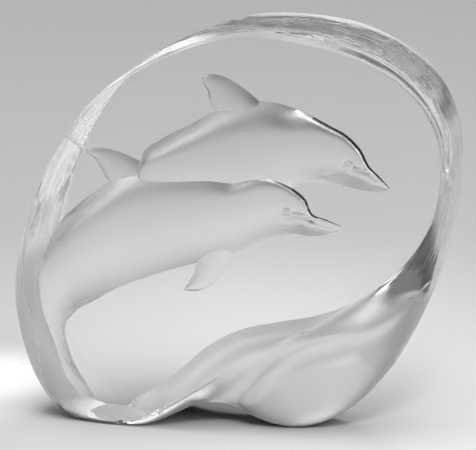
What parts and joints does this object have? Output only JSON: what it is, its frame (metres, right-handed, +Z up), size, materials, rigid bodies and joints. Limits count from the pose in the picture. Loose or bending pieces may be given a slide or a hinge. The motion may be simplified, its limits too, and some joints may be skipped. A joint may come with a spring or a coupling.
{
  "type": "dolphin figurine",
  "caption": "Free-standing clear crystal block with leaping dolphins and a wave pressed into its back, seen through a flat polished front.",
  "frame": {"origin": "on the ground plane, at the middle of the block's bounding box in X and Y", "axes": "+Z up, -Y out of the flat polished front, +X towards the side that the dolphins swim to; Y is the block's thickness"},
  "size_m": [0.1624, 0.04, 0.1512],
  "materials": {
    "crystal": "clear lead crystal: polished front and back faces, fire-finished rim, and a fine satin finish in the pressed dolphins, tail and wave"
  },
  "bodies": {
    "root": {"crystal_block": "crystal"}
  },
  "joints": []
}
